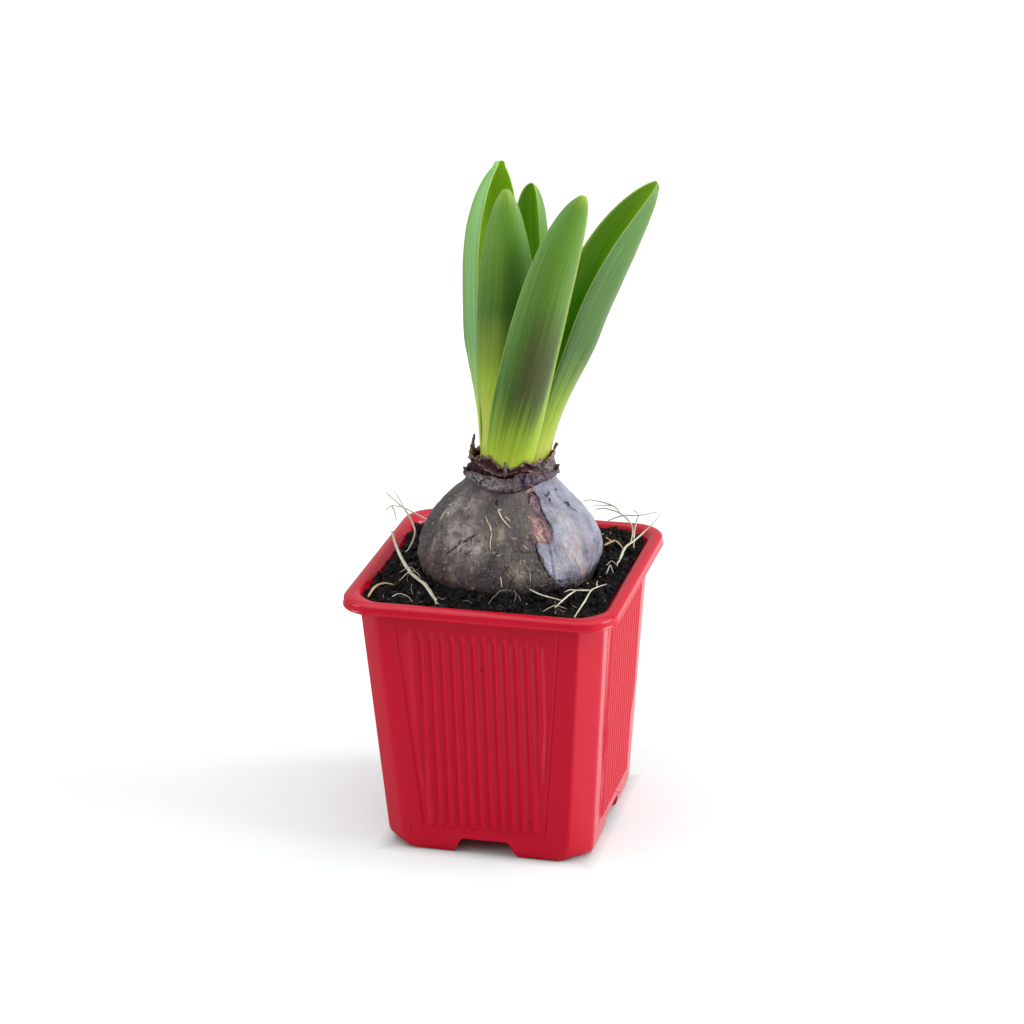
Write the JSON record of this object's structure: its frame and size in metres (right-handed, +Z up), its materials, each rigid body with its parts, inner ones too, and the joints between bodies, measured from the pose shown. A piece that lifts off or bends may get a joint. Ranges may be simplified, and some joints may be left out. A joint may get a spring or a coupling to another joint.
{
  "type": "potted sprouting hyacinth bulb",
  "caption": "Sprouting flower bulb standing half buried in soil in a square ribbed plastic nursery pot, with upright rolled green leaves and loose roots.",
  "frame": {"origin": "on the ground under the middle of the pot", "axes": "+Z up, along the plant's length; -Y towards the pot face seen most squarely in the picture; +X to that face's right"},
  "size_m": [0.09, 0.09, 0.221],
  "materials": {
    "pot": "thin moulded red plastic, slightly satin",
    "soil": null,
    "bulb_skin": null,
    "dry_skin": null,
    "leaf": null,
    "root": null,
    "twig": "dry straw-coloured twig"
  },
  "bodies": {
    "root": {"pot": "pot", "soil": "soil", "bulb": "bulb_skin", "tunic_collar_lower": "dry_skin", "tunic_collar_upper": "dry_skin", "leaf_front": "leaf", "leaf_front_left": "leaf", "leaf_back_left": "leaf", "leaf_back": "leaf", "leaf_right": "leaf", "root_left_long": "root", "roots_left_curl": "root", "roots_left_hook": "root", "roots_right": "root", "roots_front_right": "root", "twig_right": "twig", "twig_front_left": "twig"}
  },
  "joints": []
}
